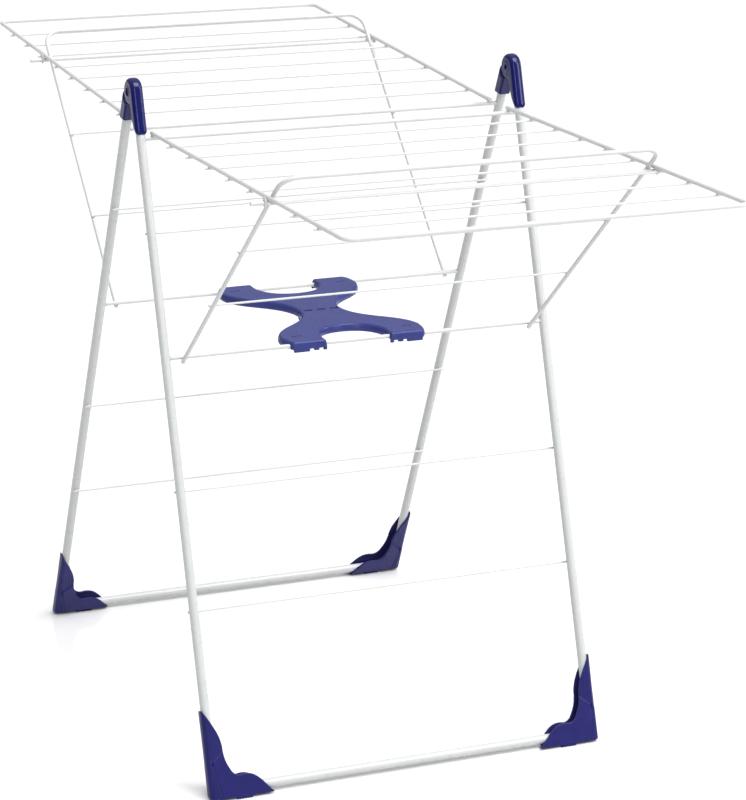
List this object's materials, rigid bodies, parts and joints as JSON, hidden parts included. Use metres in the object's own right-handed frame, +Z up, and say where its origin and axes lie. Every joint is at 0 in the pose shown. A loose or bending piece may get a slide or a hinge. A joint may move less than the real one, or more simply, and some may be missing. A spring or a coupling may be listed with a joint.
{
  "type": "folding clothes drying rack",
  "caption": "Folding winged laundry drying rack: hinged tube leg frames, wire wings on wire struts, blue plastic hinge sleeves, feet and a centre spreader.",
  "frame": {"origin": "On the floor in the middle of the footprint of the opened rack.", "axes": "+Z up, X along the drying rods, the two wings reach out along -Y (front) and +Y (back)."},
  "size_m": [0.594, 1.3964, 0.9274],
  "materials": {
    "tube_coat": "smooth white powder coat on thin steel tube",
    "wire_coat": "smooth plastic-dipped warm white coat on steel wire",
    "connector_plastic": "glossy deep blue moulded plastic",
    "foot_plastic": "satin navy blue moulded plastic",
    "spreader_plastic": "satin violet blue moulded plastic",
    "pin_plastic": "black moulded hinge pin"
  },
  "bodies": {
    "back_frame": {"back_leg_tube": "tube_coat", "back_frame_wire_upper": "wire_coat", "back_frame_wire_middle": "wire_coat", "back_frame_wire_lower": "wire_coat", "back_foot_rod": "wire_coat", "back_foot_left": "foot_plastic", "back_foot_right": "foot_plastic", "back_hinge_sleeve_left": "connector_plastic", "back_hinge_sleeve_right": "connector_plastic", "hinge_pin_left": "pin_plastic", "hinge_pin_right": "pin_plastic"},
    "back_wing": {"back_wing_pivot_bar": "wire_coat", "back_wing_frame": "wire_coat", "back_wing_rod_1": "wire_coat", "back_wing_rod_2": "wire_coat", "back_wing_rod_3": "wire_coat", "back_wing_rod_4": "wire_coat", "back_wing_rod_5": "wire_coat", "back_wing_rod_6": "wire_coat", "back_wing_rod_7": "wire_coat", "back_wing_rod_8": "wire_coat", "back_axle_eye_left": "wire_coat", "back_axle_eye_right": "wire_coat"},
    "back_strut": {"back_strut_frame": "wire_coat", "back_strut_axle": "wire_coat", "back_strut_wire_upper": "wire_coat", "back_strut_wire_lower": "wire_coat"},
    "front_frame": {"front_leg_tube": "tube_coat", "front_frame_wire_upper": "wire_coat", "front_frame_wire_middle": "wire_coat", "front_frame_wire_lower": "wire_coat", "front_foot_rod": "wire_coat", "front_foot_left": "foot_plastic", "front_foot_right": "foot_plastic", "front_hinge_sleeve_left": "connector_plastic", "front_hinge_sleeve_right": "connector_plastic"},
    "front_wing": {"front_wing_pivot_bar": "wire_coat", "front_wing_frame": "wire_coat", "front_wing_rod_1": "wire_coat", "front_wing_rod_2": "wire_coat", "front_wing_rod_3": "wire_coat", "front_wing_rod_4": "wire_coat", "front_wing_rod_5": "wire_coat", "front_wing_rod_6": "wire_coat", "front_wing_rod_7": "wire_coat", "front_wing_rod_8": "wire_coat", "front_axle_eye_left": "wire_coat", "front_axle_eye_right": "wire_coat"},
    "front_strut": {"front_strut_frame": "wire_coat", "front_strut_axle": "wire_coat", "front_strut_wire_upper": "wire_coat", "front_strut_wire_lower": "wire_coat"},
    "spreader_rear_half": {"spreader_rear": "spreader_plastic", "spreader_hinge_pin": "wire_coat"},
    "spreader_front_half": {"spreader_front": "spreader_plastic"}
  },
  "joints": [
    {"name": "leg_fold", "type": "hinge", "parent": "back_frame", "child": "front_frame", "pos_m": [0, 0, 0.90846], "axis": [1, 0, 0], "range_deg": [0, 34]},
    {"name": "front_wing_fold", "type": "hinge", "parent": "front_frame", "child": "front_wing", "pos_m": [0, -0.03193, 0.84876], "axis": [1, 0, 0], "range_deg": [0, 69]},
    {"name": "back_wing_fold", "type": "hinge", "parent": "back_frame", "child": "back_wing", "pos_m": [0, 0.03193, 0.84876], "axis": [-1, 0, 0], "range_deg": [0, 69]},
    {"name": "front_strut_fold", "type": "hinge", "parent": "front_wing", "child": "front_strut", "pos_m": [0, -0.45573, 0.86188], "axis": [-1, 0, 0], "range_deg": [0, 136]},
    {"name": "back_strut_fold", "type": "hinge", "parent": "back_wing", "child": "back_strut", "pos_m": [0, 0.45573, 0.86188], "axis": [1, 0, 0], "range_deg": [0, 136]},
    {"name": "spreader_rear_lift", "type": "hinge", "parent": "back_frame", "child": "spreader_rear_half", "pos_m": [-0.003, 0.13766, 0.56598], "axis": [-1, 0, 0], "range_deg": [0, 62]},
    {"name": "spreader_waist_fold", "type": "hinge", "parent": "spreader_rear_half", "child": "spreader_front_half", "pos_m": [-0.003, 0, 0.56098], "axis": [1, 0, 0], "range_deg": [0, 158]}
  ],
  "couplings": [
    {"joint": "front_strut_fold", "follows": "front_wing_fold", "ratio": 1.96},
    {"joint": "back_strut_fold", "follows": "back_wing_fold", "ratio": 1.96},
    {"joint": "spreader_rear_lift", "follows": "leg_fold", "ratio": 1.8193},
    {"joint": "spreader_waist_fold", "follows": "leg_fold", "ratio": 4.6386}
  ]
}
